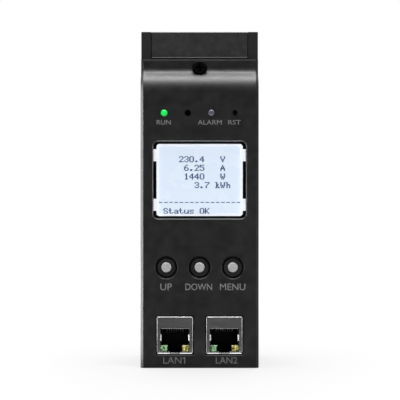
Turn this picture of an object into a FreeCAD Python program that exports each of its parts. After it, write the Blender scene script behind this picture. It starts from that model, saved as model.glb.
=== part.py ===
import FreeCAD, Part
import math
import os

Vector = FreeCAD.Vector

# A rack power distribution unit: the control section of a vertical strip.
# Millimetres. +Z runs up the strip, the front faces -Y, and the origin is at
# the centre of the foot. Depths are measured back from the face of the bezel.

# Driving sizes of the housing
unit_width = 52.0
unit_height = 148.6
profile_depth = 44.0
profile_wall = 1.8
profile_corner = 2.5
profile_front_corner = 0.6
lip_width = 4.4
bezel_rise = 8.0

# Modelling allowances
past = 1.0
sink = 0.1

# Clearances
panel_gap = 0.25
cap_gap = 0.15
press_clearance = 0.2
slot_clearance = 0.15
jack_gap = 0.45
slide_clearance = 0.1
seat_clearance = 0.05

# Bezel moulding
bezel_wall = 2.0
panel_height = 11.6
bezel_gap = 0.6
bezel_edge = 1.2
flange_thickness = 2.0
flange_height = 5.53
ramp_height = 5.0
ramp_low_radius = 8.5
ramp_high_radius = 3.5
flange_bevel_height = 0.9
flange_bevel_depth = 0.2
cavity_corner = 0.8
cavity_overrun = 1.8

# Bezel fixing
screw_drop = 3.95
pocket_radius = 3.5
screw_head_radius = 3.25
screw_head_height = 2.3
screw_head_bevel = 0.7
screw_shank_radius = 1.45
screw_length = 10.0
screw_cross_width = 0.9
screw_cross_length = 3.4
screw_cross_depth = 1.3
bracket_thickness = 1.5
bracket_height = 7.2
bracket_step_gap = 1.0
hook_leg_thickness = 1.2
hook_leg_height = 9.0
hook_reach = 0.9
hook_depth = 1.6
hook_jack_gap = 0.65
hook_high_z = 60.0

# Display
window_width = 40.8
window_height = 33.9
window_radius = 2.2
window_bevel = 0.4
window_z = 82.6
light_box_width = 37.9
light_box_height = 31.7
light_box_radius = 1.3
light_box_wall = 0.95
light_box_front = 0.7
light_box_ledge = 1.2
lug_height = 5.3
lug_offset = 10.9
lug_gap = 0.1
glass_thickness = 2.0
glass_recess = 0.2
diffuser_thickness = 3.0
flex_width = 14.0
flex_thickness = 0.25
flex_room = 1.4

# Buttons
button_pitch = 14.6
button_z = 44.15
groove_radius = 4.8
groove_width = 0.9
groove_depth = 2.8
groove_bevel = 0.45
island_depth = 0.3
button_radius = 2.15
button_edge = 0.25
button_proud = 0.3
button_travel = 0.3
button_collar_radius = 3.2
button_collar_thickness = 0.8
button_guide_radius = 6.2
button_guide_depth = 4.4
stem_radius = 1.7
switch_side = 6.0
switch_height = 4.3
switch_floor = 0.8
switch_leg_pitch = 4.5
switch_leg_width = 0.7
switch_leg_reach = 0.5
switch_leg_height = 1.2
switch_turret_radius = 2.6
switch_turret_height = 0.8

# Indicator row
indicator_pitch = 10.4
indicator_drop = 13.77
led_radius = 1.4
led_crown_radius = 0.9
led_crown_height = 0.45
led_hole_radius = 1.55
led_proud = 0.3
led_length = 5.0
led_flange_radius = 1.9
led_flange_thickness = 1.0
lead_side = 0.5
lead_pitch = 2.54
spacer_radius = 2.4
buzzer_hole_radius = 1.4
buzzer_radius = 4.5
buzzer_height = 6.0
buzzer_port_depth = 2.0
buzzer_port_radius = 1.0
reset_hole_radius = 1.15
reset_plunger_radius = 0.9
reset_collar_radius = 1.4
reset_collar_height = 1.0
reset_depth = 4.0
reset_switch_side = 4.5
reset_switch_height = 4.0
reset_travel = 0.25

# Network jacks
jack_pitch = 21.72
jack_z = 14.4
jack_width = 15.9
jack_height = 16.3
jack_edge = 0.5
shield_round = 0.35
jack_proud = 0.4
shield_sheet = 0.35
mouth_width = 12.8
mouth_top = 3.2
mouth_bottom = -7.2
latch_slot_width = 4.6
latch_slot_depth = 7.0
plug_width = 12.0
plug_height = 7.9
plug_depth = 11.6
latch_width = 6.0
jack_led_width = 3.2
jack_led_height = 2.7
jack_led_depth = 2.4
jack_led_inset = 0.15
jack_led_bevel = 0.25
shield_spring_width = 0.5
shield_spring_height = 2.7
shield_spring_z = -1.05
contact_count = 8
contact_pitch = 1.02
contact_width = 0.45
contact_thickness = 0.3
contact_drop = 2.1
contact_root = 3.6
contact_bend = 1.5
contact_run = 5.4

# Control board
board_depth = 13.6
board_thickness = 1.6
board_side_gap = 1.6
board_low_z = 4.5
board_rise = 9.15
post_radius = 2.5
post_pilot_radius = 0.9
post_pilot_depth = 7.0
post_x = 16.8
post_low_z = 30.0
post_rise = 5.65
board_screw_head_radius = 2.0
board_screw_head_height = 1.5
board_screw_shank_radius = 0.85
board_screw_length = 7.0
board_screw_hole_radius = 1.1

# Power board and what it carries
power_board_spacing = 14.8
power_board_low_z = 34.0
power_board_drop = 22.6
guide_rib = 1.2
guide_reach = 2.5
rib_root = 0.1
supply_width = 33.0
supply_height = 24.0
supply_tall = 12.5
supply_z = 92.0
supply_bevel = 0.8
capacitor_radius = 4.0
capacitor_length = 11.5
capacitor_zs = (109.0, 119.0)
capacitor_x = 8.0
fuse_radius = 2.6
fuse_tube_radius = 2.4
fuse_length = 20.0
fuse_cap_length = 5.0
fuse_x = -13.5
fuse_z = 62.0
fuse_lift = 4.2
clip_thickness = 0.5
clip_width = 4.0
clip_grip = 1.5
clip_foot = 2.4
link_x = 9.0
link_z = 66.0
link_rows = 5
link_pitch = 2.54
link_pin_side = 0.64
link_shell_height = 8.5
link_strip_height = 2.5
link_floor = 1.5
link_shell_margin = 1.4

# Mains conductors
busbar_xs = (-13.5, 0.0, 13.5)
busbar_width = 8.0
busbar_thickness = 1.5
busbar_drop = 8.6
lower_carrier_z = 50.0
upper_carrier_drop = 20.6
carrier_height = 6.0
carrier_thickness = 10.0
carrier_room = 3.0
busbar_cover = 3.6
tongue_cover = 9.6
terminal_low_z = 12.0
terminal_height = 20.0
terminal_width = 42.0
terminal_entry_side = 6.0
terminal_entry_length = 7.0
terminal_front_wall = 1.6
terminal_screw_radius = 2.6
terminal_shank_radius = 1.75
terminal_screw_head = 1.6
terminal_grip = 9.0
terminal_bite = 3.0
tap_width = 5.0
tap_thickness = 0.8
tap_z = 62.0
transformer_z = 76.0
transformer_side = 14.0
transformer_height = 9.0

# Blank panel, end caps and rear inserts
panel_proud = 0.25
panel_bevel = 0.25
panel_lap = 0.15
panel_bead = 0.15
panel_bead_height = 0.35
panel_leg = 1.2
panel_hook = 0.7
cap_plate = 3.0
cap_skirt = 10.0
cap_skirt_wall = 2.2
latch_width_across = 10.0
latch_height = 3.0
latch_low = 4.5
latch_depth = 22.0
latch_recess = 0.4
bushing_radius = 6.5
bushing_wall = 1.6
bushing_flange = 2.2
bushing_flange_thickness = 1.4
bushing_barb = 0.6
bushing_top = 7.0
bushing_depth = 29.0
insert_bore_radius = 2.1
insert_body_radius = 3.0
insert_flange_radius = 4.5
insert_flange_thickness = 0.8
insert_length = 9.0
insert_spacing = 80.0
insert_low_z = 36.0

# Sizes that follow from the ones above
half_width = unit_width / 2
half_opening = half_width - lip_width
board_width = 2 * (half_opening - board_side_gap)
bezel_height = unit_height - panel_height - bezel_gap
panel_low_z = unit_height - panel_height
ramp_high_z = bezel_height - flange_height
ramp_low_z = ramp_high_z - ramp_height
cavity_top_z = ramp_low_z + cavity_overrun
screw_z = bezel_height - screw_drop
indicator_z = ramp_low_z - indicator_drop
board_high_z = indicator_z + board_rise
power_board_high_z = unit_height - power_board_drop
busbar_high_z = unit_height - busbar_drop
carrier_zs = (lower_carrier_z, unit_height - upper_carrier_drop)
front_proud = max(jack_proud, button_proud, led_proud)
total_depth = front_proud + bezel_rise + profile_depth + insert_flange_thickness
face_y = front_proud - total_depth / 2
flange_front = bezel_rise - flange_thickness
lip_back = bezel_rise + profile_wall
panel_front = bezel_rise - panel_proud
panel_back = lip_back - seat_clearance
rear_outer = bezel_rise + profile_depth
rear_inner = rear_outer - profile_wall
inner_half = half_width - profile_wall
board_back = board_depth + board_thickness
power_board_depth = board_back + power_board_spacing
power_board_back = power_board_depth + board_thickness
carrier_depth = power_board_back + carrier_room
busbar_depth = carrier_depth + busbar_cover
carrier_slot_depth = carrier_depth + tongue_cover
ramp_angle = math.atan2(flange_front, ramp_high_z - ramp_low_z)
button_xs = (-button_pitch, 0.0, button_pitch)
indicator_xs = tuple(indicator_pitch * step for step in (-1.5, -0.5, 0.5, 1.5))
run_led_x, buzzer_x, alarm_led_x, reset_x = indicator_xs
jack_xs = (-jack_pitch / 2, jack_pitch / 2)
hook_low_z = jack_z + jack_height / 2 + hook_jack_gap + hook_leg_height / 2
hook_zs = (hook_low_z, hook_high_z)
board_posts = [(side * post_x, z) for z in (post_low_z, indicator_z + post_rise) for side in (-1, 1)]
light_box_wing = (window_width - light_box_width) / 2
plug_top = mouth_top - contact_thickness
plug_bottom = plug_top - plug_height
insert_front = shield_sheet - jack_proud


# Shared helpers

def point(x, depth, z):
    return Vector(x, face_y + depth, z)


def rounded_wire(corners, place):
    # Closed wire through (u, v, radius) corners, each rounded by a tangent arc.
    flat = [Vector(u, v, 0) for u, v, radius in corners]
    count = len(corners)
    starts, ends, middles = [], [], []
    for index, (u, v, radius) in enumerate(corners):
        here = flat[index]
        to_last = (flat[index - 1] - here).normalize()
        to_next = (flat[(index + 1) % count] - here).normalize()
        half = to_last.getAngle(to_next) / 2
        reach = radius / math.tan(half)
        inward = (to_last + to_next) if radius else Vector(0, 0, 0)
        if radius:
            inward.normalize()
        starts.append(here + to_last * reach)
        ends.append(here + to_next * reach)
        middles.append(here + inward * (radius / math.sin(half) - radius))
    edges = []
    for index, (u, v, radius) in enumerate(corners):
        lift = [place(p.x, p.y) for p in (starts[index], middles[index], ends[index])]
        if radius:
            edges.append(Part.Arc(*lift).toShape())
        following = starts[(index + 1) % count]
        if (following - ends[index]).Length > 1e-6:
            edges.append(Part.makeLine(lift[2], place(following.x, following.y)))
    return Part.Wire(Part.__sortEdges__(edges))


def across(corners, x_low, x_high):
    # Sweeps a (z, depth) outline along X.
    wire = rounded_wire(corners, lambda z, depth: point(x_low, depth, z))
    return Part.Face(wire).extrude(Vector(x_high - x_low, 0, 0))


def upward(corners, z_low, z_high):
    # Sweeps an (x, depth) outline along Z.
    wire = rounded_wire(corners, lambda x, depth: point(x, depth, z_low))
    return Part.Face(wire).extrude(Vector(0, 0, z_high - z_low))


def backward(corners, depth_low, depth_high):
    # Sweeps an (x, z) outline straight back.
    wire = rounded_wire(corners, lambda x, z: point(x, depth_low, z))
    return Part.Face(wire).extrude(Vector(0, depth_high - depth_low, 0))


def rectangle(u, v, u_size, v_size, radius=0.0):
    left, right = u - u_size / 2, u + u_size / 2
    low, high = v - v_size / 2, v + v_size / 2
    return [(left, low, radius), (right, low, radius), (right, high, radius), (left, high, radius)]


def block(x_low, x_high, depth_low, depth_high, z_low, z_high):
    size = (x_high - x_low, depth_high - depth_low, z_high - z_low)
    return Part.makeBox(*size, point(x_low, depth_low, z_low))


def rod(x, z, depth_low, depth_high, radius):
    return Part.makeCylinder(radius, depth_high - depth_low, point(x, depth_low, z), Vector(0, 1, 0))


def turned(x, z, outline):
    # Turns a (radius, depth) outline about an axis that runs front to back.
    wire = Part.makePolygon([point(x + radius, depth, z) for radius, depth in outline + outline[:1]])
    return Part.Face(wire).revolve(point(x, 0, z), Vector(0, 1, 0), 360)


def joined(first, *others):
    return first.multiFuse(list(others)).removeSplitter()


def rounded_edges(shape, radius, wanted):
    return shape.makeFillet(radius, [edge for edge in shape.Edges if wanted(edge)])


def bevelled_edges(shape, size, wanted):
    return shape.makeChamfer(size, [edge for edge in shape.Edges if wanted(edge)])


def on_depth(depth):
    # True for an edge that lies wholly at that depth.
    def test(edge):
        box = edge.BoundBox
        return abs(box.YMin - face_y - depth) < 1e-4 and abs(box.YMax - face_y - depth) < 1e-4
    return test


# Housing

def make_housing_profile():
    # Channel with two front lips, a board slot and a carrier slot on each side wall.
    corner = profile_corner
    inner_corner = corner - profile_wall
    edge = profile_front_corner
    outline = [
        (-half_width, bezel_rise, edge), (-half_opening, bezel_rise, 0), (-half_opening, lip_back, 0),
        (-inner_half, lip_back, 0), (-inner_half, rear_inner, inner_corner),
        (inner_half, rear_inner, inner_corner), (inner_half, lip_back, 0), (half_opening, lip_back, 0),
        (half_opening, bezel_rise, 0), (half_width, bezel_rise, edge),
        (half_width, rear_outer, corner), (-half_width, rear_outer, corner),
    ]
    shape = joined(upward(outline, 0, unit_height), *guide_ribs(0.0))
    for z in insert_zs():
        shape = shape.cut(rod(0, z, rear_inner - past, rear_outer + past, insert_body_radius))
    for foot_z, direction in ((0.0, 1), (unit_height, -1)):
        for side in (-1, 1):
            shape = shape.cut(latch_block(foot_z, direction, side, half_width + past, cap_gap))
    return shape


def guide_ribs(room):
    # Two pairs of ribs on each side wall, grown by some room where they are cut from another piece.
    ribs = []
    for slot_depth in (power_board_depth, carrier_slot_depth):
        for front in (slot_depth - slot_clearance - guide_rib, slot_depth + board_thickness + slot_clearance):
            for side in (-1, 1):
                near, far = sorted((side * (inner_half - guide_reach - room), side * (inner_half + rib_root)))
                ribs.append(block(near, far, front - room, front + guide_rib + room, 0, unit_height))
    return ribs


def insert_zs():
    return (insert_low_z, insert_low_z + insert_spacing)


def latch_block(foot_z, direction, side, reach, room):
    # Tongue of an end cap, or with some room the window that it snaps into.
    near, far = sorted((side * (inner_half - cap_gap - sink), side * reach))
    low = foot_z + direction * (latch_low - room)
    high = foot_z + direction * (latch_low + latch_height + room)
    half = latch_width_across / 2 + room
    return block(near, far, latch_depth - half, latch_depth + half, *sorted((low, high)))


def make_blank_panel():
    # Snap-in cover that closes the mouth of the channel above the bezel.
    half = half_opening - panel_gap
    front, back = panel_front, panel_back
    middle = (panel_low_z + unit_height) / 2
    height = unit_height - panel_low_z
    plate = block(-half, half, front, back, panel_low_z, unit_height)
    plate = bevelled_edges(plate, panel_bevel, on_depth(front))
    lap = block(-half, half, bezel_rise + seat_clearance, back, bezel_height - panel_lap, panel_low_z)
    bead = across([
        (panel_low_z, back, 0), (panel_low_z, front - panel_bead, 0),
        (panel_low_z + panel_bead, front - panel_bead, 0), (panel_low_z + panel_bead_height, front, 0),
        (panel_low_z + panel_bead_height, back, 0),
    ], -half + panel_bevel, half - panel_bevel)
    plate = joined(plate, lap, bead)
    hook_start = lip_back + press_clearance
    for side in (-1, 1):
        outer = side * half
        inner = side * (half - panel_leg)
        tip = side * (half + panel_hook)
        outline = [
            (outer, back, 0), (outer, hook_start, 0), (tip, hook_start, 0),
            (inner, hook_start + hook_depth, 0), (inner, back, 0),
        ]
        plate = joined(plate, upward(outline, middle - height / 5, middle + height / 5))
    return plate


def make_end_cap(foot_z, direction):
    # Plug that closes one end of the channel: a plate with a skirt along the side and rear walls.
    half = inner_half - cap_gap
    front, rear = lip_back + cap_gap, rear_inner - cap_gap
    corner = profile_corner - profile_wall
    outer = [
        (-half, front, 0), (half, front, 0), (half, rear, corner), (-half, rear, corner),
    ]
    wall = cap_skirt_wall
    inner = [
        (-half + wall, board_back + wall, 0), (half - wall, board_back + wall, 0),
        (half - wall, rear - wall, 0), (-half + wall, rear - wall, 0),
    ]
    tip_z = foot_z + direction * cap_skirt
    plate_z = foot_z + direction * cap_plate
    shape = upward(outer, *sorted((foot_z, tip_z)))
    shape = shape.cut(upward(inner, *sorted((plate_z, tip_z))))
    shape = shape.cut(block(-half, half, front, board_back + wall, *sorted((plate_z, tip_z))))
    shape = shape.cut(Part.makeCompound(guide_ribs(cap_gap)))
    latches = [latch_block(foot_z, direction, side, half_width - latch_recess, 0.0) for side in (-1, 1)]
    return joined(shape, *latches)


def make_bottom_end_cap():
    # The foot cap fills the mouth below the bezel and carries the cord bushing in a counterbore.
    half = half_opening - cap_gap
    neck = block(-half, half, bezel_rise + cap_gap, lip_back + 2 * cap_gap, 0, cap_plate)
    shape = joined(make_end_cap(0.0, 1), neck)
    centre = point(0, bushing_depth, 0)
    up = Vector(0, 0, 1)
    barrel = bushing_radius + bushing_wall
    seat = Part.makeCylinder(barrel + bushing_flange, bushing_flange_thickness, centre, up)
    hole = Part.makeCylinder(barrel, cap_plate, centre, up)
    return shape.cut(joined(seat, hole))


def make_cord_bushing():
    # Snap bushing: a flange below the plate, a barrel through it and a barb above it.
    barrel = bushing_radius + bushing_wall
    rim = barrel + bushing_flange - cap_gap
    barb_z = cap_plate + slide_clearance
    outline = [
        (bushing_radius, 0.0), (rim, 0.0), (rim, bushing_flange_thickness), (barrel, bushing_flange_thickness),
        (barrel, barb_z), (barrel + bushing_barb, barb_z), (bushing_radius, bushing_top),
    ]
    wire = Part.makePolygon([point(radius, bushing_depth, z) for radius, z in outline + outline[:1]])
    return Part.Face(wire).revolve(point(0, bushing_depth, 0), Vector(0, 0, 1), 360)


def make_mount_inserts():
    # Rivet nuts in the rear wall that take the rack's mounting buttons or brackets.
    inserts = []
    for z in insert_zs():
        tip = rear_outer + insert_flange_thickness - insert_length
        outline = [
            (insert_bore_radius, tip), (insert_body_radius, tip), (insert_body_radius, rear_outer),
            (insert_flange_radius, rear_outer), (insert_flange_radius, rear_outer + insert_flange_thickness),
            (insert_bore_radius, rear_outer + insert_flange_thickness),
        ]
        inserts.append(turned(0, z, outline))
    return Part.makeCompound(inserts)


# Bezel and its fixing

def make_bezel():
    outline = [
        (0.0, 0.0, 0), (ramp_low_z, 0.0, ramp_low_radius),
        (ramp_high_z, flange_front, ramp_high_radius), (bezel_height - flange_bevel_height, flange_front, 0),
        (bezel_height, flange_front + flange_bevel_depth, 0), (bezel_height, bezel_rise, 0),
        (0.0, bezel_rise, 0),
    ]
    shape = across(outline, -half_width, half_width)

    def front_side_edge(edge):
        box = edge.BoundBox
        at_side = abs(abs(box.XMin) - half_width) < 1e-4 and box.XLength < 1e-4
        return at_side and box.YMax < face_y + bezel_rise - 1e-3

    shape = bevelled_edges(shape, bezel_edge, front_side_edge)
    shape = shape.cut(bezel_cavity())
    shape = joined(shape, *bezel_posts(), *bezel_hooks(), *button_guides())
    for cutter in bezel_openings():
        shape = shape.cut(cutter)
    return shape


def bezel_cavity():
    # Hollow behind the face, one wall inside the outline and open at the back.
    wall = bezel_wall
    inner_low_z = ramp_low_z - wall * math.tan(ramp_angle / 2)
    top_depth = wall + (cavity_top_z - inner_low_z) * math.tan(ramp_angle)
    outline = [
        (wall, wall, cavity_corner), (inner_low_z, wall, ramp_low_radius - wall), (cavity_top_z, top_depth, 0),
        (cavity_top_z, bezel_rise + past, 0), (wall, bezel_rise + past, 0),
    ]
    return across(outline, -half_width + wall, half_width - wall)


def bezel_posts():
    posts = []
    for x, z in board_posts:
        post = rod(x, z, bezel_wall - sink, board_depth, post_radius)
        posts.append(post.cut(rod(x, z, board_depth - post_pilot_depth, board_depth, post_pilot_radius)))
    return posts


def bezel_hooks():
    # Snap legs that reach between the lips and catch behind them.
    hooks = []
    start = lip_back + press_clearance
    for z in hook_zs:
        for side in (-1, 1):
            outer = side * (half_opening - panel_gap)
            inner = side * (half_opening - panel_gap - hook_leg_thickness)
            tip = side * (half_opening - panel_gap + hook_reach)
            outline = [
                (outer, bezel_wall - sink, 0), (outer, start, 0), (tip, start, 0),
                (inner, start + hook_depth, 0), (inner, bezel_wall - sink, 0),
            ]
            hooks.append(upward(outline, z - hook_leg_height / 2, z + hook_leg_height / 2))
    return hooks


def button_guides():
    return [rod(x, button_z, bezel_wall - sink, button_guide_depth, button_guide_radius) for x in button_xs]


def bezel_openings():
    bore = button_radius + press_clearance
    window = rectangle(0, window_z, window_width, window_height, window_radius)
    cutters = [backward(window, -past, bezel_wall + past)]
    bevel_wide = rectangle(0, window_z, window_width + 2 * window_bevel, window_height + 2 * window_bevel,
                           window_radius + window_bevel)
    wires = [
        rounded_wire(bevel_wide, lambda x, z: point(x, 0, z)),
        rounded_wire(window, lambda x, z: point(x, window_bevel, z)),
    ]
    cutters.append(Part.makeLoft(wires, True))
    for x in button_xs:
        groove = [
            (0.0, -past), (groove_radius + groove_bevel + past, -past), (groove_radius, groove_bevel),
            (groove_radius, groove_depth), (groove_radius - groove_width, groove_depth),
            (groove_radius - groove_width, island_depth), (bore, island_depth),
            (bore, button_guide_depth + past), (0.0, button_guide_depth + past),
        ]
        cutters.append(turned(x, button_z, groove))
    holes = (led_hole_radius, buzzer_hole_radius, led_hole_radius, reset_hole_radius)
    for x, radius in zip(indicator_xs, holes):
        cutters.append(rod(x, indicator_z, -past, bezel_wall + past, radius))
    for x in jack_xs:
        mouth = rectangle(x, jack_z, jack_width + 2 * jack_gap, jack_height + 2 * jack_gap, jack_edge)
        cutters.append(backward(mouth, -past, bezel_wall + past))
    cutters.append(rod(0, screw_z, -past, flange_front, pocket_radius))
    shank_room = screw_shank_radius + press_clearance
    cutters.append(rod(0, screw_z, flange_front - sink, bezel_rise + past, shank_room))
    return cutters


def make_bezel_screw():
    # Pan-head screw with a cross recess, seated in the pocket of the ramp.
    top = flange_front - screw_head_height
    head = rod(0, screw_z, top, flange_front, screw_head_radius)
    head = bevelled_edges(head, screw_head_bevel, on_depth(top))
    shape = joined(head, rod(0, screw_z, flange_front - sink, flange_front + screw_length, screw_shank_radius))
    long, wide = screw_cross_length / 2, screw_cross_width / 2
    for half_x, half_z in ((long, wide), (wide, long)):
        shape = shape.cut(block(-half_x, half_x, top - past, top + screw_cross_depth,
                                screw_z - half_z, screw_z + half_z))
    return shape


def make_bezel_bracket():
    # Stepped strip behind the lips that the bezel screw pulls against.
    step = half_opening - bracket_step_gap
    reach = inner_half - cap_gap
    front, back = bezel_rise, lip_back
    thick = bracket_thickness
    outline = [
        (-reach, back, 0), (-step, back, 0), (-step, front, 0), (step, front, 0), (step, back, 0),
        (reach, back, 0), (reach, back + thick, 0), (step - thick, back + thick, 0),
        (step - thick, front + thick, 0), (-step + thick, front + thick, 0),
        (-step + thick, back + thick, 0), (-reach, back + thick, 0),
    ]
    low = screw_z - bracket_height / 2
    shape = upward(outline, low, low + bracket_height)
    return shape.cut(rod(0, screw_z, front - past, front + thick + past, screw_shank_radius))


# Control board and what stands on it

def make_control_board():
    middle = (board_low_z + board_high_z) / 2
    outline = rectangle(0, middle, board_width, board_high_z - board_low_z)
    shape = backward(outline, board_depth, board_back)
    for x, z in board_posts:
        shape = shape.cut(rod(x, z, board_depth - past, board_back + past, board_screw_hole_radius))
    return shape


def make_board_screws():
    screws = []
    for x, z in board_posts:
        tip = board_back - board_screw_length
        head_top = board_back + board_screw_head_height
        head = rod(x, z, board_back, head_top, board_screw_head_radius)
        screws.append(joined(head, rod(x, z, tip, board_back, board_screw_shank_radius)))
    return Part.makeCompound(screws)


def make_light_box():
    # White rectangular tube behind the window, with four lugs that centre it there.
    outer = rectangle(0, window_z, light_box_width, light_box_height, light_box_radius)
    seat_width = light_box_width - 2 * light_box_wall
    seat_height = light_box_height - 2 * light_box_wall
    shape = backward(outer, light_box_front, board_depth)
    lug_reach = light_box_wing - lug_gap
    lugs = []
    for z in (window_z - lug_offset, window_z + lug_offset):
        for side in (-1, 1):
            near, far = sorted((side * (light_box_width / 2 - sink), side * (light_box_width / 2 + lug_reach)))
            lugs.append(block(near, far, light_box_front, bezel_wall, z - lug_height / 2, z + lug_height / 2))
    shape = joined(shape, *lugs)
    seat = rectangle(0, window_z, seat_width, seat_height)
    diffuser_back = light_box_front + glass_recess + glass_thickness + diffuser_thickness
    shape = shape.cut(backward(seat, light_box_front - past, diffuser_back))
    throat = rectangle(0, window_z, seat_width - 2 * light_box_ledge, seat_height - 2 * light_box_ledge)
    shape = shape.cut(backward(throat, diffuser_back - past, board_depth + past))
    low = window_z - seat_height / 2
    slot_half = flex_width / 2 + press_clearance
    return shape.cut(block(-slot_half, slot_half, diffuser_back - past, board_depth + past,
                           low, low + flex_room))


def seat_box():
    width = light_box_width - 2 * (light_box_wall + lug_gap)
    height = light_box_height - 2 * (light_box_wall + lug_gap)
    return width, height


def make_display_glass():
    width, height = seat_box()
    front = light_box_front + glass_recess
    return backward(rectangle(0, window_z, width, height), front, front + glass_thickness)


def make_backlight_diffuser():
    # Light guide plate, cut away at its lower edge where the flex passes.
    width, height = seat_box()
    front = light_box_front + glass_recess + glass_thickness
    shape = backward(rectangle(0, window_z, width, height), front, front + diffuser_thickness)
    low = window_z - height / 2
    slot_half = flex_width / 2 + press_clearance
    return shape.cut(block(-slot_half, slot_half, front - past, front + diffuser_thickness + past,
                           low - past, low + flex_room))


def make_display_flex():
    width, height = seat_box()
    low = window_z - height / 2 + flex_room / 2
    front = light_box_front + glass_recess + glass_thickness
    half = flex_width / 2
    return block(-half, half, front, board_depth, low - flex_thickness / 2, low + flex_thickness / 2)


def make_button(x):
    # Cap, retaining collar and stem in one moulding.
    collar_front = button_guide_depth + press_clearance
    cap = rod(x, button_z, -button_proud, collar_front + sink, button_radius)
    cap = bevelled_edges(cap, button_edge, on_depth(-button_proud))
    collar = rod(x, button_z, collar_front, collar_front + button_collar_thickness, button_collar_radius)
    stem_tip = board_depth - switch_floor - press_clearance - button_travel
    return joined(cap, collar, rod(x, button_z, collar_front, stem_tip, stem_radius))


def make_switch(x):
    # Tact switch body with a turret that guides the button's stem.
    half = switch_side / 2
    front = board_depth - switch_height
    body = backward(rectangle(x, button_z, switch_side, switch_side), front, board_depth)
    turret = rod(x, button_z, front - switch_turret_height, front, switch_turret_radius)
    legs = []
    for side in (-1, 1):
        for z in (button_z - switch_leg_pitch / 2, button_z + switch_leg_pitch / 2):
            near, far = sorted((x + side * (half - sink), x + side * (half + switch_leg_reach)))
            legs.append(block(near, far, board_depth - switch_leg_height, board_depth,
                              z - switch_leg_width / 2, z + switch_leg_width / 2))
    shape = joined(body, turret, *legs)
    bore = rod(x, button_z, front - switch_turret_height - past, board_depth - switch_floor,
               stem_radius + slide_clearance)
    return shape.cut(bore)


def make_led(x):
    # Round lens with a crowned tip, a flange and two leads.
    tip = -led_proud
    flange_back = tip + led_length
    flange_front_here = flange_back - led_flange_thickness
    outline = [
        (0.0, tip), (led_crown_radius, tip), (led_radius, tip + led_crown_height),
        (led_radius, flange_front_here), (led_flange_radius, flange_front_here),
        (led_flange_radius, flange_back), (0.0, flange_back),
    ]
    lens = turned(x, indicator_z, outline)
    half = lead_side / 2
    leads = []
    for side in (-1, 1):
        lead_x = x + side * lead_pitch / 2
        leads.append(block(lead_x - half, lead_x + half, flange_back - sink, board_depth,
                           indicator_z - half, indicator_z + half))
    return joined(lens, *leads)


def make_led_spacers():
    # Standoff tubes that hold the two indicator lamps at the height of the face.
    spacers = []
    front = led_length - led_proud
    half = lead_side / 2 + slide_clearance
    for x in (run_led_x, alarm_led_x):
        spacer = rod(x, indicator_z, front, board_depth, spacer_radius)
        for side in (-1, 1):
            lead_x = x + side * lead_pitch / 2
            spacer = spacer.cut(block(lead_x - half, lead_x + half, front - past, board_depth + past,
                                      indicator_z - half, indicator_z + half))
        spacers.append(spacer)
    return Part.makeCompound(spacers)


def make_buzzer():
    front = board_depth - buzzer_height
    shape = rod(buzzer_x, indicator_z, front, board_depth, buzzer_radius)
    return shape.cut(rod(buzzer_x, indicator_z, front - past, front + buzzer_port_depth, buzzer_port_radius))


def make_reset_switch():
    front = board_depth - reset_switch_height
    body = backward(rectangle(reset_x, indicator_z, reset_switch_side, reset_switch_side), front, board_depth)
    return body.cut(rod(reset_x, indicator_z, front - past, board_depth - switch_floor,
                        reset_plunger_radius + slide_clearance))


def make_reset_plunger():
    # Recessed plunger that a pin reaches through the small hole, with a collar that stops it at the switch.
    front = board_depth - reset_switch_height
    tip = board_depth - switch_floor - press_clearance - reset_travel
    pin = rod(reset_x, indicator_z, reset_depth, tip, reset_plunger_radius)
    collar_back = front - slide_clearance - reset_travel
    collar = rod(reset_x, indicator_z, collar_back - reset_collar_height, collar_back, reset_collar_radius)
    return joined(pin, collar)


# Network jacks

def make_jack_shield(x):
    # Stamped box: four walls and a front plate with the plug mouth and two side springs.
    outer = rectangle(x, jack_z, jack_width, jack_height, jack_edge)
    sheet = shield_sheet
    inner = rectangle(x, jack_z, jack_width - 2 * sheet, jack_height - 2 * sheet)
    shape = backward(outer, -jack_proud, board_depth)
    shape = rounded_edges(shape, shield_round, on_depth(-jack_proud))
    shape = shape.cut(backward(inner, insert_front, board_depth + past))
    top, bottom = jack_z + mouth_top, jack_z + mouth_bottom
    half, slot = mouth_width / 2, latch_slot_width / 2
    below = jack_z - jack_height / 2 - past
    shape = shape.cut(block(x - half, x + half, -jack_proud - past, insert_front + past, bottom, top))
    shape = shape.cut(block(x - slot, x + slot, -jack_proud - past, insert_front + past, below, bottom + past))
    springs = []
    spring_z = jack_z + shield_spring_z
    for side in (-1, 1):
        root, tip = x + side * half, x + side * (half - shield_spring_width)
        outline = [(root, -jack_proud, 0), (root, insert_front, 0), (tip, insert_front, 0)]
        springs.append(upward(outline, spring_z - shield_spring_height / 2,
                              spring_z + shield_spring_height / 2))
    return joined(shape, *springs)


def make_jack_insert(x):
    # Black housing inside the shield, hollowed for the plug, its latch and the two lamps.
    sheet = shield_sheet + seat_clearance
    body = backward(rectangle(x, jack_z, jack_width - 2 * sheet, jack_height - 2 * sheet),
                    insert_front, board_depth)
    back = plug_depth
    top, bottom = jack_z + plug_top, jack_z + plug_bottom
    low = jack_z + mouth_bottom
    below = jack_z - jack_height / 2
    body = body.cut(block(x - plug_width / 2, x + plug_width / 2, insert_front - past, back, bottom, top))
    latch, slot = latch_width / 2, latch_slot_width / 2
    body = body.cut(block(x - latch, x + latch, insert_front - past, back, low, bottom + past))
    body = body.cut(block(x - slot, x + slot, insert_front - past, latch_slot_depth, below - past, low + past))
    for side in (-1, 1):
        body = body.cut(jack_led_block(x, side, seat_clearance, insert_front - past))
    return body


def jack_led_block(x, side, room, front):
    # Space of one lamp, in a lower corner of the mouth.
    outer = x + side * (mouth_width / 2 + room)
    inner = x + side * (mouth_width / 2 - jack_led_width - room)
    near, far = sorted((outer, inner))
    low = jack_z + mouth_bottom - room
    return block(near, far, front, jack_led_depth + room, low, low + jack_led_height + 2 * room)


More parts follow.
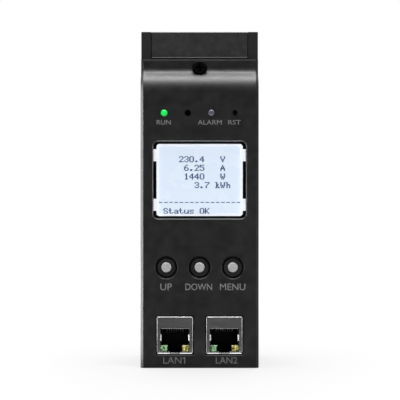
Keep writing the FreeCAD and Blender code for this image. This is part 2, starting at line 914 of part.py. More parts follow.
def make_jack_led(x, side):
    front = insert_front + jack_led_inset
    shape = jack_led_block(x, side, 0.0, front)
    return bevelled_edges(shape, jack_led_bevel, on_depth(front))


def make_jack_contacts(x):
    # Sprung wires: a root that lies on the roof of the plug space, folded back down into it.
    roof = jack_z + plug_top
    thick = contact_thickness
    contacts = []
    for index in range(contact_count):
        centre = x + (index - (contact_count - 1) / 2) * contact_pitch
        outline = [
            (roof, contact_root, 0), (roof, plug_depth, 0), (roof - thick, plug_depth, 0),
            (roof - thick, contact_root + contact_bend, 0),
            (roof - contact_drop, contact_root + contact_run, 0),
            (roof - contact_drop - thick, contact_root + contact_run, 0),
            (roof - 2 * thick, contact_root, 0),
        ]
        contacts.append(across(outline, centre - contact_width / 2, centre + contact_width / 2))
    return Part.makeCompound(contacts)


# Power board

def make_power_board():
    half = inner_half - slot_clearance
    middle = (power_board_low_z + power_board_high_z) / 2
    outline = rectangle(0, middle, 2 * half, power_board_high_z - power_board_low_z)
    return backward(outline, power_board_depth, power_board_back)


def make_supply_module():
    # Potted converter block that feeds the control board.
    front = power_board_depth - supply_tall
    shape = backward(rectangle(0, supply_z, supply_width, supply_height), front, power_board_depth)
    return bevelled_edges(shape, supply_bevel, on_depth(front))


def make_capacitors():
    shapes = []
    for z in capacitor_zs:
        front = power_board_depth - capacitor_length
        shapes.append(rod(capacitor_x, z, front, power_board_depth, capacitor_radius))
    return Part.makeCompound(shapes)


def fuse_axis_depth():
    return power_board_depth - fuse_lift


def make_fuse():
    # Cartridge fuse: a tube with a wider cap at each end.
    start = point(fuse_x, fuse_axis_depth(), fuse_z - fuse_length / 2)
    up = Vector(0, 0, 1)
    tube = Part.makeCylinder(fuse_tube_radius, fuse_length, start, up)
    caps = [Part.makeCylinder(fuse_radius, fuse_cap_length, start + up * lift, up)
            for lift in (0, fuse_length - fuse_cap_length)]
    return joined(tube, *caps)


def make_fuse_clips():
    # Sprung forks that stand on the power board and grip the fuse caps.
    clips = []
    inner, outer = fuse_radius, fuse_radius + clip_thickness
    for side in (-1, 1):
        z = fuse_z + side * (fuse_length - fuse_cap_length) / 2
        low, high = z - clip_width / 2, z + clip_width / 2
        start = point(fuse_x, fuse_axis_depth(), low)
        ring = Part.makeCylinder(outer, clip_width, start, Vector(0, 0, 1))
        ring = ring.cut(Part.makeCylinder(inner, clip_width, start, Vector(0, 0, 1)))
        mouth = block(fuse_x - outer, fuse_x + outer, fuse_axis_depth() - outer - past,
                      fuse_axis_depth() - clip_grip, low - past, high + past)
        foot_front = fuse_axis_depth() + inner + clip_thickness / 2
        foot = block(fuse_x - clip_foot / 2, fuse_x + clip_foot / 2, foot_front, power_board_depth, low, high)
        clips.append(joined(ring.cut(mouth), foot))
    return Part.makeCompound(clips)


def link_pin_places():
    for row in range(link_rows):
        for column in (-0.5, 0.5):
            yield link_x + column * link_pitch, link_z + (row - (link_rows - 1) / 2) * link_pitch


def link_outline():
    width = 2 * link_pitch + 2 * link_shell_margin
    height = link_rows * link_pitch + 2 * link_shell_margin
    return rectangle(link_x, link_z, width, height)


def make_link_pins():
    # Header on the control board: a spacer strip with pins that reach the socket.
    half = link_pin_side / 2
    strip = backward(link_outline(), board_back, board_back + link_strip_height)
    reach = power_board_depth - link_floor - press_clearance
    pins = [block(x - half, x + half, board_back + sink, reach, z - half, z + half)
            for x, z in link_pin_places()]
    return joined(strip, *pins)


def make_link_socket():
    half = link_pin_side / 2 + slide_clearance
    front = power_board_depth - link_shell_height
    shape = backward(link_outline(), front, power_board_depth)
    holes = [block(x - half, x + half, front - past, power_board_depth - link_floor, z - half, z + half)
             for x, z in link_pin_places()]
    return shape.cut(Part.makeCompound(holes))


# Mains conductors

def make_busbar(x):
    low = terminal_low_z + terminal_height - terminal_grip
    half = busbar_width / 2
    shape = block(x - half, x + half, busbar_depth, busbar_depth + busbar_thickness, low, busbar_high_z)
    back = busbar_depth + busbar_thickness
    return shape.cut(rod(x, low + terminal_grip / 2, busbar_depth - past, back + past,
                         terminal_shank_radius + press_clearance))


def side_tongue(z_low, z_high):
    # Plate that slides in the lower pair of slots in the side walls.
    half = inner_half - slot_clearance
    return block(-half, half, carrier_slot_depth, carrier_slot_depth + board_thickness, z_low, z_high)


def make_busbar_carrier(z):
    low, high = z - carrier_height / 2, z + carrier_height / 2
    half = inner_half - guide_reach - slot_clearance
    front = carrier_depth
    shape = block(-half, half, front, front + carrier_thickness, low, high)
    shape = joined(shape, side_tongue(low, high))
    room = slot_clearance / 2
    for x in busbar_xs:
        wide = busbar_width / 2 + room
        shape = shape.cut(block(x - wide, x + wide, busbar_depth - room,
                                busbar_depth + busbar_thickness + room, low - past, high + past))
    return shape


def make_terminal_block():
    # Insulating block with a wire entry below and a busbar slot above for each pole.
    half = terminal_width / 2
    low, high = terminal_low_z, terminal_low_z + terminal_height
    front = carrier_depth - terminal_front_wall
    shape = block(-half, half, front, carrier_slot_depth + board_thickness, low, high)
    shape = joined(shape, side_tongue(low, high))
    room = slot_clearance / 2
    for x in busbar_xs:
        wide = busbar_width / 2 + room
        slot_low = high - terminal_grip - room
        shape = shape.cut(block(x - wide, x + wide, busbar_depth - room,
                                busbar_depth + busbar_thickness + room, slot_low, high + past))
        half_entry = terminal_entry_side / 2
        middle = busbar_depth + busbar_thickness / 2
        shape = shape.cut(block(x - half_entry, x + half_entry, middle - half_entry, middle + half_entry,
                                low - past, low + terminal_entry_length))
        screw_z_here = high - terminal_grip / 2
        back = busbar_depth + busbar_thickness + terminal_bite
        shape = shape.cut(rod(x, screw_z_here, front - past, busbar_depth, terminal_screw_radius))
        shape = shape.cut(rod(x, screw_z_here, busbar_depth, back, terminal_shank_radius))
    return shape


def make_terminal_screws():
    screws = []
    z = terminal_low_z + terminal_height - terminal_grip / 2
    for x in busbar_xs:
        head_front = busbar_depth - terminal_screw_head
        head = rod(x, z, head_front, busbar_depth, terminal_screw_radius - slide_clearance)
        back = busbar_depth + busbar_thickness + terminal_bite
        shank = rod(x, z, busbar_depth, back, terminal_shank_radius)
        screws.append(joined(head, shank))
    return Part.makeCompound(screws)


def make_supply_taps():
    # Copper tabs that feed the power board from the line and neutral busbars.
    half = tap_width / 2
    return Part.makeCompound([
        block(x - half, x + half, power_board_back, busbar_depth, tap_z, tap_z + tap_thickness)
        for x in busbar_xs[:2]
    ])


def make_current_transformer():
    # Potted sensing block on the back of the power board, threaded by the first busbar.
    x = busbar_xs[0]
    half = transformer_side / 2
    low, high = transformer_z - transformer_height / 2, transformer_z + transformer_height / 2
    shape = backward(rectangle(x, transformer_z, transformer_side, transformer_height),
                     power_board_back, power_board_back + transformer_side)
    room = press_clearance
    wide = busbar_width / 2 + room
    return shape.cut(block(x - wide, x + wide, busbar_depth - room, busbar_depth + busbar_thickness + room,
                           low - past, high + past))


def make_parts():
    parts = {
        "housing_profile": make_housing_profile(),
        "blank_panel": make_blank_panel(),
        "top_end_cap": make_end_cap(unit_height, -1),
        "bottom_end_cap": make_bottom_end_cap(),
        "cord_bushing": make_cord_bushing(),
        "mount_inserts": make_mount_inserts(),
        "control_bezel": make_bezel(),
        "bezel_screw": make_bezel_screw(),
        "bezel_bracket": make_bezel_bracket(),
        "control_board": make_control_board(),
        "board_screws": make_board_screws(),
        "display_light_box": make_light_box(),
        "display_glass": make_display_glass(),
        "display_diffuser": make_backlight_diffuser(),
        "display_flex": make_display_flex(),
        "run_led": make_led(run_led_x),
        "alarm_led": make_led(alarm_led_x),
        "led_spacers": make_led_spacers(),
        "alarm_buzzer": make_buzzer(),
        "reset_switch": make_reset_switch(),
        "reset_plunger": make_reset_plunger(),
        "power_board": make_power_board(),
        "supply_module": make_supply_module(),
        "supply_capacitors": make_capacitors(),
        "line_fuse": make_fuse(),
        "fuse_clips": make_fuse_clips(),
        "board_link_pins": make_link_pins(),
        "board_link_socket": make_link_socket(),
        "lower_busbar_carrier": make_busbar_carrier(carrier_zs[0]),
        "upper_busbar_carrier": make_busbar_carrier(carrier_zs[1]),
        "terminal_block": make_terminal_block(),
        "terminal_screws": make_terminal_screws(),
        "current_transformer": make_current_transformer(),
        "supply_taps": make_supply_taps(),
    }
    for name, x in zip(("up", "down", "menu"), button_xs):
        parts[name + "_button"] = make_button(x)
        parts[name + "_switch"] = make_switch(x)
    for name, x in zip(("line", "neutral", "earth"), busbar_xs):
        parts[name + "_busbar"] = make_busbar(x)
    for name, x in zip(("lan1", "lan2"), jack_xs):
        parts[name + "_shield"] = make_jack_shield(x)
        parts[name + "_insert"] = make_jack_insert(x)
        parts[name + "_contacts"] = make_jack_contacts(x)
        parts[name + "_green_led"] = make_jack_led(x, -1)
        parts[name + "_yellow_led"] = make_jack_led(x, 1)
    return parts


def main():
    os.makedirs("parts", exist_ok=True)
    for name, shape in make_parts().items():
        shape.exportStep("parts/%s.step" % name)


main()
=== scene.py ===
import math
import bpy
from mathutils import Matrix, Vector


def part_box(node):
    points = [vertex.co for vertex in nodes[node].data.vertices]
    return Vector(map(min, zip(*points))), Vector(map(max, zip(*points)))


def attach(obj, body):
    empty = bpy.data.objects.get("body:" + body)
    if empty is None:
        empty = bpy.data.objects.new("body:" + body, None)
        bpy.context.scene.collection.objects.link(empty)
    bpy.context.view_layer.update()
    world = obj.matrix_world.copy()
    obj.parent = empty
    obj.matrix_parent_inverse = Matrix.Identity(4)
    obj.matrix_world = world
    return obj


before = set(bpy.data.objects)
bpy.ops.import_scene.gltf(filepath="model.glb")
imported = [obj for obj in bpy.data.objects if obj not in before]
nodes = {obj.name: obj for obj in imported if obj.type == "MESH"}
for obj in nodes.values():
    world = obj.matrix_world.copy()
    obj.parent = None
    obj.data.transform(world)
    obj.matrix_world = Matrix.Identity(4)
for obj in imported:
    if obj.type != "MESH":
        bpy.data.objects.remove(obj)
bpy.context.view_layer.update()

mm = 0.001
upright = (math.pi / 2, 0, 0)  # turns what is drawn flat towards the front
print("frame loaded:", len(nodes), "nodes")


# small helpers, sizes in millimetres

def deselectAll():
    bpy.ops.object.select_all(action="DESELECT")


def activate(piece):
    deselectAll()
    piece.select_set(True)
    bpy.context.view_layer.objects.active = piece


def applyPlace(piece):
    activate(piece)
    bpy.ops.object.transform_apply(location=True, rotation=True, scale=True)


def applyModifiers(piece):
    activate(piece)
    for modifier in list(piece.modifiers):
        bpy.ops.object.modifier_apply(modifier=modifier.name)


def selectFaces(piece, wanted):
    activate(piece)
    bpy.ops.object.mode_set(mode="EDIT")
    bpy.ops.mesh.select_mode(type="FACE")
    bpy.ops.mesh.select_all(action="DESELECT")
    bpy.ops.object.mode_set(mode="OBJECT")
    for face in piece.data.polygons:
        face.select = wanted(face)
    bpy.ops.object.mode_set(mode="EDIT")


def makeBlock(name, wide, deep, tall):
    deselectAll()
    bpy.ops.mesh.primitive_cube_add(size=1)
    block = bpy.context.object
    block.name = name
    block.scale = (wide * mm, deep * mm, tall * mm)
    applyPlace(block)
    return block


def endCorners(piece):
    return Vector(piece.bound_box[0]), Vector(piece.bound_box[6])  # the lowest and the highest


def finishPiece(piece, body, material):
    piece.data.materials.clear()
    piece.data.materials.append(material)
    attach(piece, body)


# materials: a broad mottle for colour and gloss, a fine grain for the relief, both on Object coordinates

fullRange = (0, 1)
plainFinish = {  # holds where a piece's own dictionary says nothing else
    "stretch": (1, 1, 1), "detail": 4, "spread": (0.3, 0.7),
    "grainDetail": 2, "reliefStrength": 0.4, "sockets": {},
}


def addNoise(tree, place, size, detail):
    noise = tree.nodes.new("ShaderNodeTexNoise")
    noise.inputs["Scale"].default_value = 1 / (size * mm)
    noise.inputs["Detail"].default_value = detail
    tree.links.new(place, noise.inputs["Vector"])
    return noise.outputs["Fac"]


def addRange(tree, value, source, target):
    scaled = tree.nodes.new("ShaderNodeMapRange")
    for side, limits in (("From", source), ("To", target)):
        scaled.inputs[side + " Min"].default_value = limits[0]
        scaled.inputs[side + " Max"].default_value = limits[1]
    tree.links.new(value, scaled.inputs["Value"])
    return scaled.outputs["Result"]


def makeFinish(name, ownLook):
    look = {**plainFinish, **ownLook}
    material = bpy.data.materials.new(name)
    material.use_nodes = True
    tree = material.node_tree
    shader = tree.nodes["Principled BSDF"]
    place = tree.nodes.new("ShaderNodeTexCoord")
    mapping = tree.nodes.new("ShaderNodeMapping")
    mapping.inputs["Scale"].default_value = look["stretch"]
    tree.links.new(place.outputs["Object"], mapping.inputs["Vector"])
    mottle = addNoise(tree, mapping.outputs["Vector"], look["mottle"], look["detail"])
    spread = addRange(tree, mottle, look["spread"], fullRange)
    colour = tree.nodes.new("ShaderNodeMix")
    colour.data_type = "RGBA"
    colour.inputs["A"].default_value = (*look["dark"], 1)
    colour.inputs["B"].default_value = (*look["light"], 1)
    tree.links.new(spread, colour.inputs["Factor"])
    tree.links.new(colour.outputs["Result"], shader.inputs["Base Color"])
    gloss = addRange(tree, spread, fullRange, look["rough"])
    tree.links.new(gloss, shader.inputs["Roughness"])
    grain = addNoise(tree, mapping.outputs["Vector"], look["grain"], look["grainDetail"])
    relief = tree.nodes.new("ShaderNodeBump")
    relief.inputs["Strength"].default_value = look["reliefStrength"]
    relief.inputs["Distance"].default_value = look["relief"] * mm
    tree.links.new(grain, relief.inputs["Height"])
    tree.links.new(relief.outputs["Normal"], shader.inputs["Normal"])
    if "glow" in look:
        tree.links.new(colour.outputs["Result"], shader.inputs["Emission Color"])
        shader.inputs["Emission Strength"].default_value = look["glow"]
    for socket, value in look["sockets"].items():
        shader.inputs[socket].default_value = value
    return material


def coat(name, look, *nodeNames):
    finish = makeFinish(name, look)
    for nodeName in nodeNames:
        nodes[nodeName].material_slots[0].material = finish
    return finish


# housing: satin charcoal powder coat on metal

housingLook = {
    "dark": (0.0135, 0.0135, 0.014), "light": (0.016, 0.016, 0.0165), "mottle": 6.0,
    "rough": (0.45, 0.49), "grain": 0.22, "relief": 0.02,
    "sockets": {"Specular IOR Level": 0.5},
}
coat("housingCoat", housingLook, "housing_profile")

panelLook = {
    "dark": (0.024, 0.024, 0.025), "light": (0.038, 0.038, 0.039), "mottle": 2.5,
    "rough": (0.48, 0.56), "grain": 0.18, "relief": 0.02,
    "sockets": {"Specular IOR Level": 0.32},
}
coat("panelPlastic", panelLook, "blank_panel")

endCapLook = {
    "dark": (0.0115, 0.0115, 0.0115), "light": (0.0135, 0.0135, 0.0135), "mottle": 5.0,
    "rough": (0.66, 0.72), "grain": 0.25, "relief": 0.03,
    "sockets": {"Specular IOR Level": 0.22},
}
coat("endCapPlastic", endCapLook, "top_end_cap", "bottom_end_cap")

bushingLook = {
    "dark": (0.008, 0.008, 0.008), "light": (0.013, 0.013, 0.012), "mottle": 2.0,
    "rough": (0.65, 0.8), "grain": 0.25, "relief": 0.03,
    "sockets": {"Specular IOR Level": 0.25},
}
coat("bushingRubber", bushingLook, "cord_bushing")

zincLook = {
    "dark": (0.50, 0.50, 0.49), "light": (0.66, 0.66, 0.66), "mottle": 0.8,
    "rough": (0.28, 0.42), "grain": 0.1, "relief": 0.01,
    "sockets": {"Metallic": 1.0},
}
coat("zincSteel", zincLook, "mount_inserts", "board_screws", "terminal_screws", "bezel_bracket")
print("housing and outer pieces finished")


# bezel: fine matt moulding

bezelLook = {
    "dark": (0.0065, 0.0065, 0.0071), "light": (0.0150, 0.0150, 0.0160), "mottle": 3.5,
    "rough": (0.45, 0.53), "grain": 0.16, "relief": 0.02,
    "sockets": {"Specular IOR Level": 0.5},
}
coat("bezelPlastic", bezelLook, "control_bezel")

screwLook = {
    "dark": (0.002, 0.002, 0.002), "light": (0.004, 0.004, 0.004), "mottle": 0.8,
    "rough": (0.55, 0.65), "grain": 0.12, "relief": 0.01,
    "sockets": {"Specular IOR Level": 0.04},
}
coat("screwBlack", screwLook, "bezel_screw")

buttonLook = {
    "dark": (0.42, 0.42, 0.425), "light": (0.51, 0.51, 0.515), "mottle": 1.2,
    "rough": (0.4, 0.5), "grain": 0.12, "relief": 0.01,
}
coat("buttonPlastic", buttonLook, "up_button", "down_button", "menu_button")

plungerLook = {
    "dark": (0.03, 0.03, 0.032), "light": (0.05, 0.05, 0.053), "mottle": 1.0,
    "rough": (0.4, 0.5), "grain": 0.1, "relief": 0.01,
}
coat("plungerPlastic", plungerLook, "reset_plunger")

blackPartLook = {
    "dark": (0.010, 0.010, 0.010), "light": (0.020, 0.020, 0.020), "mottle": 1.5,
    "rough": (0.45, 0.6), "grain": 0.15, "relief": 0.02,
}
coat(
    "blackMoulding", blackPartLook,
    "alarm_buzzer", "reset_switch", "up_switch", "down_switch", "menu_switch",
    "supply_module", "board_link_socket", "terminal_block", "led_spacers",
)
print("bezel and keys finished")


# display: lit white box, pale glass, dots of the readout

lightBoxLook = {
    "dark": (0.70, 0.735, 0.80), "light": (0.76, 0.795, 0.86), "mottle": 4.0,
    "rough": (0.4, 0.5), "grain": 0.2, "relief": 0.01, "glow": 0.36,
}
coat("whiteFrame", lightBoxLook, "display_light_box")

glassLook = {
    "dark": (0.61, 0.69, 0.80), "light": (0.625, 0.705, 0.815), "mottle": 14.0,
    "rough": (0.22, 0.3), "grain": 0.6, "relief": 0.003, "glow": 0.40,
}
coat("litGlass", glassLook, "display_glass")

diffuserLook = {
    "dark": (0.75, 0.8, 0.86), "light": (0.82, 0.87, 0.92), "mottle": 5.0,
    "rough": (0.3, 0.4), "grain": 0.3, "relief": 0.01, "glow": 0.4,
}
coat("milkyDiffuser", diffuserLook, "display_diffuser")

flexLook = {
    "dark": (0.36, 0.16, 0.03), "light": (0.5, 0.26, 0.05), "mottle": 1.0,
    "rough": (0.25, 0.35), "grain": 0.4, "relief": 0.01,
}
coat("amberFilm", flexLook, "display_flex")

glyphs = {  # seven rows of five dots, from the top
    "0": ".###. #...# #...# #...# #...# #...# .###.",
    "1": "..#.. .##.. ..#.. ..#.. ..#.. ..#.. .###.",
    "2": ".###. #...# ....# ...#. ..#.. .#... #####",
    "3": ".###. #...# ....# ..##. ....# #...# .###.",
    "4": "...#. ..##. .#.#. #..#. ##### ...#. ...#.",
    "5": "##### #.... ####. ....# ....# #...# .###.",
    "6": "..##. .#... #.... ####. #...# #...# .###.",
    "7": "##### ....# ...#. ..#.. .#... .#... .#...",
    ".": "..... ..... ..... ..... ..... .##.. .##..",
    "-": "..... ..... ..... ####. ..... ..... .....",
    "V": "#...# #...# #...# .#.#. .#.#. ..#.. ..#..",
    "A": "..#.. ..#.. .#.#. .#.#. ##### #...# #...#",
    "W": "#...# #...# #...# #.#.# #.#.# .#.#. .#.#.",
    "k": "##... .#... .#.#. .##.. .##.. .#.#. ##.##",
    "h": "##... .#... .#.#. .##.# .#..# .#..# .#..#",
    "S": ".###. #...# #.... .###. ....# #...# .###.",
    "t": ".#... .#... ###.. .#... .#... .#..# ..##.",
    "a": "..... ..... .###. ....# .#### #...# .####",
    "u": "..... ..... #...# #...# #...# #..## .##.#",
    "s": "..... ..... .#### #.... .###. ....# ####.",
    "O": ".###. #...# #...# #...# #...# #...# .###.",
    "K": "#...# #..#. #.#.. ##... #.#.. #..#. #...#",
}
readoutLook = {
    "lines": ["   230.4   V", "    6.25   A", "    1440   W", "      3.7 kWh", "", "", "Status OK"],
    "dashLine": 5, "dashes": 16, "textIndent": 5,  # indent in dots
    "dot": 0.38, "gap": 0.004, "height": 0.02,  # millimetres
    "slices": 2, "stroke": 3,  # a dot is two slices wide, and an upright stroke is three
    "cellWide": 6, "cellTall": 10,  # dots for each character
    "left": -17.86, "top": 93.08,  # first dot's corner, millimetres
    "dark": (0.016, 0.045, 0.13), "light": (0.036, 0.080, 0.21), "mottle": 2.0,
    "rough": (0.3, 0.4), "grain": 0.3, "relief": 0.002, "glow": 0.2,
}


def litSlices(look):
    lit = set()
    for lineIndex, line in enumerate(look["lines"]):
        text, indent, stroke = line, look["textIndent"], look["stroke"]
        if lineIndex == look["dashLine"]:
            text, indent, stroke = "-" * look["dashes"], 0, look["slices"]
        for place, letter in enumerate(text):
            if letter == " ":
                continue
            left = indent + place * look["cellWide"]
            top = lineIndex * look["cellTall"]
            for row, marks in enumerate(glyphs[letter].split()):
                for column, mark in enumerate(marks):
                    if mark == "#":
                        first = (left + column) * look["slices"]
                        lit.update((first + step, top + row) for step in range(stroke))
    return lit


def makeReadout(look):
    lit = litSlices(look)
    columns = look["dashes"] * look["cellWide"] * look["slices"]
    rows = len(look["lines"]) * look["cellTall"]
    dot = look["dot"] * mm
    sliceWide = dot / look["slices"]
    halfWide = columns * sliceWide / 2
    halfTall = rows * dot / 2
    deselectAll()
    bpy.ops.mesh.primitive_grid_add(x_subdivisions=columns, y_subdivisions=rows, size=1)
    readout = bpy.context.object
    readout.name = "displayReadout"
    readout.scale = (columns * sliceWide, rows * dot, 1)
    applyPlace(readout)

    def unlit(face):
        column = int((face.center.x + halfWide) / sliceWide)
        row = int((halfTall - face.center.y) / dot)
        return (column, row) not in lit

    selectFaces(readout, unlit)
    bpy.ops.mesh.delete(type="FACE")
    bpy.ops.mesh.select_all(action="SELECT")
    bpy.ops.mesh.inset(thickness=look["gap"] * mm, use_individual=True, use_boundary=True)
    bpy.ops.mesh.select_all(action="INVERT")
    bpy.ops.mesh.delete(type="FACE")
    bpy.ops.object.mode_set(mode="OBJECT")
    skin = readout.modifiers.new("skin", "SOLIDIFY")
    skin.thickness = look["height"] * mm
    skin.offset = 1  # all of it outwards
    applyModifiers(readout)
    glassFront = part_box("display_glass")[0].y
    readout.rotation_euler = upright
    readout.location = (look["left"] * mm + halfWide, glassFront, look["top"] * mm - halfTall)
    applyPlace(readout)
    finishPiece(readout, "unit", makeFinish("readoutInk", look))
    return readout


readout = makeReadout(readoutLook)
print("display finished:", len(readout.data.polygons), "faces in the readout")


# indicator lamps

runLampLook = {
    "dark": (0.004, 0.70, 0.07), "light": (0.01, 0.85, 0.12), "mottle": 1.2,
    "rough": (0.3, 0.4), "grain": 0.3, "relief": 0.004, "glow": 0.33,
}
coat("greenLamp", runLampLook, "run_led")

alarmLampLook = {
    "dark": (0.085, 0.081, 0.105), "light": (0.165, 0.158, 0.205), "mottle": 1.2,
    "rough": (0.3, 0.4), "grain": 0.3, "relief": 0.004,
}
coat("paleLamp", alarmLampLook, "alarm_led")

# the green and yellow are the lenses' own; their glow and the strong dark-to-bright mottle are painted
# highlights
greenLensLook = {
    "dark": (0.018, 0.052, 0.020), "light": (0.25, 0.45, 0.23),
    "mottle": 0.9, "detail": 0, "spread": (0.38, 0.74),
    "rough": (0.2, 0.3), "grain": 0.2, "relief": 0.005, "glow": 0.15,
}
coat("greenLens", greenLensLook, "lan1_green_led", "lan2_green_led")

yellowLensLook = {
    "dark": (0.055, 0.050, 0.008), "light": (0.48, 0.45, 0.11),
    "mottle": 0.9, "detail": 0, "spread": (0.38, 0.74),
    "rough": (0.2, 0.3), "grain": 0.2, "relief": 0.005, "glow": 0.15,
}
coat("yellowLens", yellowLensLook, "lan1_yellow_led", "lan2_yellow_led")
print("lamps finished")


# network jacks

shieldLook = {
    "dark": (0.40, 0.40, 0.41), "light": (0.50, 0.50, 0.515), "mottle": 1.6, "stretch": (0.15, 1, 1),
    "rough": (0.20, 0.27), "grain": 0.08, "relief": 0.002,
    "sockets": {"Metallic": 1.0},
}
jackShield = coat("jackShield", shieldLook, "lan1_shield", "lan2_shield")

lipLook = {  # rolled edge along the top of each plug mouth, millimetres and degrees
    "mouthTop": 3.2, "roll": 0.34, "lap": 0.3,  # up from the shield's middle, then down and up from there
    "wide": 12.9, "thick": 0.33, "sunk": 0.02,
    "round": 0.3, "roundSteps": 5, "smoothAngle": 60,
}


def makeLip(name, shield, look):
    low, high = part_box(shield)
    middle = (low + high) / 2
    tall = look["roll"] + look["lap"]
    lip = makeBlock(name, look["wide"], look["thick"], tall)
    rolled = lip.modifiers.new("rolled", "BEVEL")
    rolled.width = look["round"] * mm
    rolled.segments = look["roundSteps"]
    applyModifiers(lip)
    bpy.ops.object.shade_smooth_by_angle(angle=math.radians(look["smoothAngle"]))
    lip.location = (
        middle.x,
        low.y + (look["sunk"] + look["thick"] / 2) * mm,
        middle.z + (look["mouthTop"] - look["roll"] + tall / 2) * mm,
    )
    applyPlace(lip)
    finishPiece(lip, "unit", jackShield)


makeLip("lan1MouthLip", "lan1_shield", lipLook)
makeLip("lan2MouthLip", "lan2_shield", lipLook)

jackInsertLook = {
    "dark": (0.002, 0.002, 0.002), "light": (0.004, 0.004, 0.004), "mottle": 1.0,
    "rough": (0.5, 0.6), "grain": 0.12, "relief": 0.01,
    "sockets": {"Specular IOR Level": 0.12},
}
coat("jackInsert", jackInsertLook, "lan1_insert", "lan2_insert")

# painted shade: the gold contacts are written dim and grey for the shade deep in the plug mouths
contactShadeLook = {
    "dark": (0.10, 0.095, 0.085), "light": (0.15, 0.143, 0.13), "mottle": 0.6,
    "rough": (0.35, 0.45), "grain": 0.1, "relief": 0.004,
    "sockets": {"Metallic": 0.5},
}
coat("goldContactPaintedShade", contactShadeLook, "lan1_contacts", "lan2_contacts")
print("network jacks finished")


# boards and mains conductors behind the bezel

boardLook = {
    "dark": (0.003, 0.009, 0.005), "light": (0.005, 0.014, 0.008), "mottle": 3.0,
    "rough": (0.3, 0.42), "grain": 0.5, "relief": 0.01,
}
coat("circuitBoard", boardLook, "control_board", "power_board")

capacitorLook = {
    "dark": (0.012, 0.012, 0.035), "light": (0.022, 0.022, 0.055), "mottle": 2.0,
    "rough": (0.25, 0.35), "grain": 0.4, "relief": 0.005,
}
coat("capacitorSleeve", capacitorLook, "supply_capacitors")

fuseLook = {
    "dark": (0.62, 0.61, 0.58), "light": (0.72, 0.71, 0.69), "mottle": 1.5,
    "rough": (0.3, 0.4), "grain": 0.3, "relief": 0.005,
}
coat("fuseCeramic", fuseLook, "line_fuse")

clipLook = {
    "dark": (0.58, 0.52, 0.38), "light": (0.70, 0.64, 0.48), "mottle": 1.0,
    "rough": (0.25, 0.35), "grain": 0.15, "relief": 0.005,
    "sockets": {"Metallic": 1.0},
}
coat("tinnedClip", clipLook, "fuse_clips", "board_link_pins", "supply_taps")

copperLook = {
    "dark": (0.55, 0.22, 0.10), "light": (0.72, 0.33, 0.17), "mottle": 3.0, "stretch": (1, 1, 0.15),
    "rough": (0.28, 0.4), "grain": 0.15, "relief": 0.005,
    "sockets": {"Metallic": 1.0},
}
coat("bareCopper", copperLook, "line_busbar", "neutral_busbar", "earth_busbar")

carrierLook = {
    "dark": (0.46, 0.44, 0.37), "light": (0.56, 0.54, 0.47), "mottle": 3.0,
    "rough": (0.45, 0.6), "grain": 0.25, "relief": 0.01,
}
coat("naturalNylon", carrierLook, "lower_busbar_carrier", "upper_busbar_carrier")

transformerLook = {
    "dark": (0.012, 0.035, 0.15), "light": (0.022, 0.055, 0.22), "mottle": 2.0,
    "rough": (0.3, 0.45), "grain": 0.3, "relief": 0.01,
}
coat("pottedBlue", transformerLook, "current_transformer")
print("inner pieces finished")


# printed legends on the bezel face

legendLook = {
    "words": [  # word, left, right, low, high in millimetres
        ("RUN", -18.84, -12.69, 106.92, 108.94),
        ("ALARM", -0.79, 9.71, 106.92, 108.94),
        ("RST", 12.60, 18.05, 106.92, 108.94),
        ("UP", -17.26, -12.17, 34.18, 37.08),
        ("DOWN", -6.24, 5.49, 34.18, 37.08),
        ("MENU", 8.96, 20.07, 34.18, 37.08),
        ("LAN1", -15.99, -6.32, 1.95, 4.85),
        ("LAN2", 7.11, 16.60, 1.95, 4.85),
    ],
    "height": 0.015, "sunk": 0.01, "weld": 0.001,  # millimetres
    "curveSteps": 4, "drawnThick": 0.5,  # drawn at any thickness, then scaled to the ink's
    "paintedShadeWords": ("LAN1", "LAN2"),  # in a darker copy of the same ink, a painted shade
    "flagged": "LAN1",  # its figure one has a stroke at the head
    "flagLong": 1.0, "flagThick": 0.36, "flagTilt": 38.0,  # millimetres and degrees
    "flagInset": 0.8, "flagDrop": 0.5,  # from the word's upper right corner
    "dark": (0.21, 0.21, 0.215), "light": (0.27, 0.27, 0.275), "mottle": 1.0,
    "rough": (0.5, 0.6), "grain": 0.1, "relief": 0.005,
}
legendInk = makeFinish("legendInk", legendLook)
# painted shade: the words below the jacks get a darker copy of the same legend ink
legendShadedCopyLook = dict(legendLook, dark=(0.147, 0.147, 0.15), light=(0.19, 0.19, 0.193))  # below the jacks
legendInkPaintedShade = makeFinish("legendInkPaintedShade", legendShadedCopyLook)


def addFlag(legend, thick, look):
    corner = endCorners(legend)[1]
    flag = makeBlock("legendFlag", look["flagLong"], look["flagThick"], thick)
    flag.rotation_euler = (0, 0, math.radians(look["flagTilt"]))
    flag.location = (corner.x - look["flagInset"] * mm, corner.y - look["flagDrop"] * mm, 0)
    applyPlace(flag)
    activate(legend)
    flag.select_set(True)
    bpy.ops.object.join()


